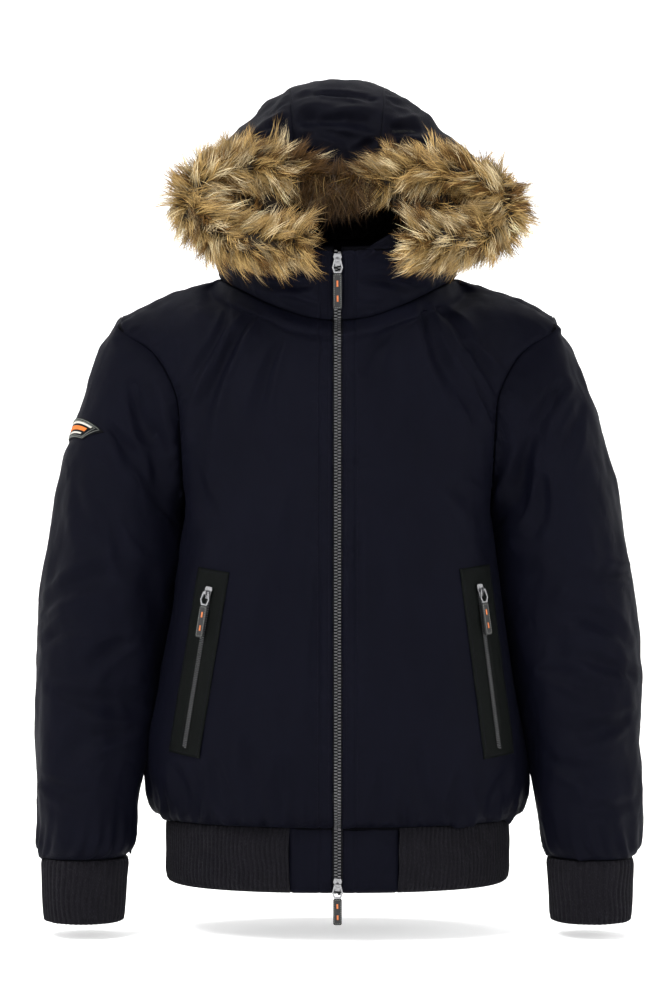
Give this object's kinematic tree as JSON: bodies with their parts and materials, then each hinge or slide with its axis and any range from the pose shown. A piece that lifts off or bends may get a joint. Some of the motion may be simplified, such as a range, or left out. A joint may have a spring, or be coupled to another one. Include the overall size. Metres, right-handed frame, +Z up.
{
  "type": "hooded bomber jacket",
  "caption": "Padded zip-front bomber jacket in its worn shape, with a fur-trimmed hood, ribbed hem and cuffs and slanted zip pockets.",
  "frame": {"origin": "between the shoulders at the height of the base of the neck, where the wearer holds the jacket up", "axes": "+Z up, -Y out of the chest, +X towards the wearer's left arm"},
  "size_m": [0.663, 0.3042, 0.9287],
  "materials": {
    "shell_twill": "very dark navy peached twill, matt",
    "welt_twill": "near-black coarse twill tape",
    "rib_knit": "charcoal melange rib knit",
    "fleece_lining": "black fleece",
    "faux_fur": "long pile, golden brown with dark roots and pale tips",
    "zip_teeth": "blackened metal coil and teeth",
    "slider_metal": "polished nickel",
    "pull_tag": "black moulded tag with plain orange bars",
    "woven_patch": "woven patch with a grey-green border and plain bars"
  },
  "bodies": {
    "jacket": {"back": "shell_twill", "collar_back": "shell_twill", "hood_centre": "shell_twill", "front_left": "shell_twill", "front_right": "shell_twill", "sleeve_left": "shell_twill", "sleeve_right": "shell_twill", "collar_left": "shell_twill", "collar_right": "shell_twill", "hood_left": "shell_twill", "hood_right": "shell_twill", "hem_tab_left": "shell_twill", "hem_tab_right": "shell_twill", "hood_lining_centre": "fleece_lining", "hood_lining_left": "fleece_lining", "hood_lining_right": "fleece_lining", "hem_rib": "rib_knit", "cuff_left": "rib_knit", "cuff_right": "rib_knit", "fur_left": "faux_fur", "fur_right": "faux_fur", "zip_teeth_left": "zip_teeth", "zip_teeth_right": "zip_teeth", "pocket_zip_left": "zip_teeth", "pocket_zip_right": "zip_teeth", "pocket_welt_left": "welt_twill", "pocket_welt_right": "welt_twill", "sleeve_patch": "woven_patch", "top_slider": "slider_metal", "top_lug": "slider_metal", "hem_slider": "slider_metal", "hem_lug": "slider_metal", "pocket_left_slider": "slider_metal", "pocket_left_lug": "slider_metal", "pocket_right_slider": "slider_metal", "pocket_right_lug": "slider_metal"},
    "top_pull": {"top_bail": "slider_metal", "top_tag": "pull_tag"},
    "hem_pull": {"hem_bail": "slider_metal", "hem_tag": "pull_tag"},
    "pocket_left_pull": {"pocket_left_bail": "slider_metal", "pocket_left_tag": "pull_tag"},
    "pocket_right_pull": {"pocket_right_bail": "slider_metal", "pocket_right_tag": "pull_tag"}
  },
  "joints": [
    {"name": "top_pull_hinge", "type": "hinge", "parent": "jacket", "child": "top_pull", "pos_m": [0, -0.11599, 0.03476], "axis": [-1, 0, 0], "range_deg": [0, 150]},
    {"name": "hem_pull_hinge", "type": "hinge", "parent": "jacket", "child": "hem_pull", "pos_m": [0, -0.12273, -0.6275], "axis": [-1, 0, 0], "range_deg": [0, 150]},
    {"name": "pocket_left_pull_hinge", "type": "hinge", "parent": "jacket", "child": "pocket_left_pull", "pos_m": [0.15484, -0.10397, -0.31526], "axis": [-0.7001, -0.7118, -0.056], "range_deg": [0, 150]},
    {"name": "pocket_right_pull_hinge", "type": "hinge", "parent": "jacket", "child": "pocket_right_pull", "pos_m": [-0.13926, -0.11602, -0.31781], "axis": [-0.83, 0.5435, 0.1252], "range_deg": [0, 150]}
  ]
}
